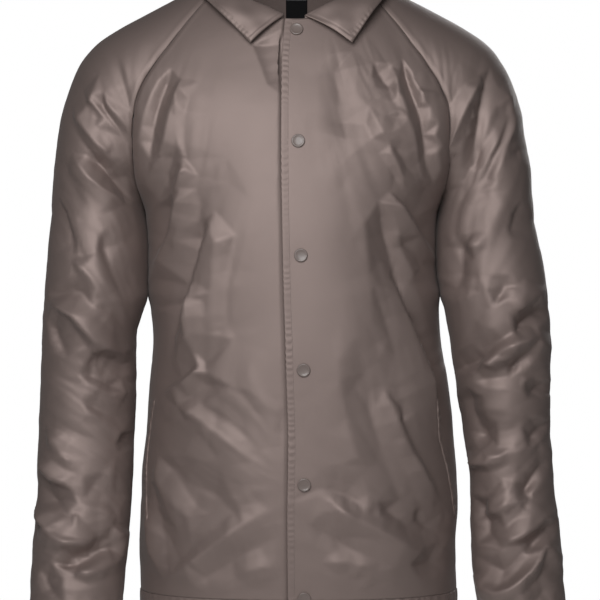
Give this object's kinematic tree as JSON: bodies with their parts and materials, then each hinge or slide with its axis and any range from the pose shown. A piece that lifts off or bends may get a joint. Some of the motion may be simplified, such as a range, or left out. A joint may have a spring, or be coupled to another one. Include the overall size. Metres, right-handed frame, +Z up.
{
  "type": "coach jacket",
  "caption": "Hip-length raglan coach jacket with a turn-down collar, snap front, side pockets and gathered cuffs, hollow as if worn.",
  "frame": {"origin": "between the two points where the neck seam sits on the wearer's shoulders, level with them and on the body's middle line", "axes": "+Z up, the front faces -Y, +X towards the wearer's left"},
  "size_m": [0.6154, 0.2882, 0.8046],
  "materials": {
    "shell_nylon": "soft satin sheen, plain weave",
    "snap_enamel": "semi-gloss enamel",
    "label_satin": "matt woven satin"
  },
  "bodies": {
    "root": {"front_right": "shell_nylon", "front_left": "shell_nylon", "back": "shell_nylon", "sleeve_right": "shell_nylon", "sleeve_left": "shell_nylon", "collar": "shell_nylon", "hem_casing": "shell_nylon", "cuff_right": "shell_nylon", "cuff_left": "shell_nylon", "pocket_welt_right": "shell_nylon", "pocket_welt_left": "shell_nylon", "snap_1": "snap_enamel", "snap_2": "snap_enamel", "snap_3": "snap_enamel", "snap_4": "snap_enamel", "snap_5": "snap_enamel", "snap_6": "snap_enamel", "neck_label": "label_satin"}
  },
  "joints": []
}
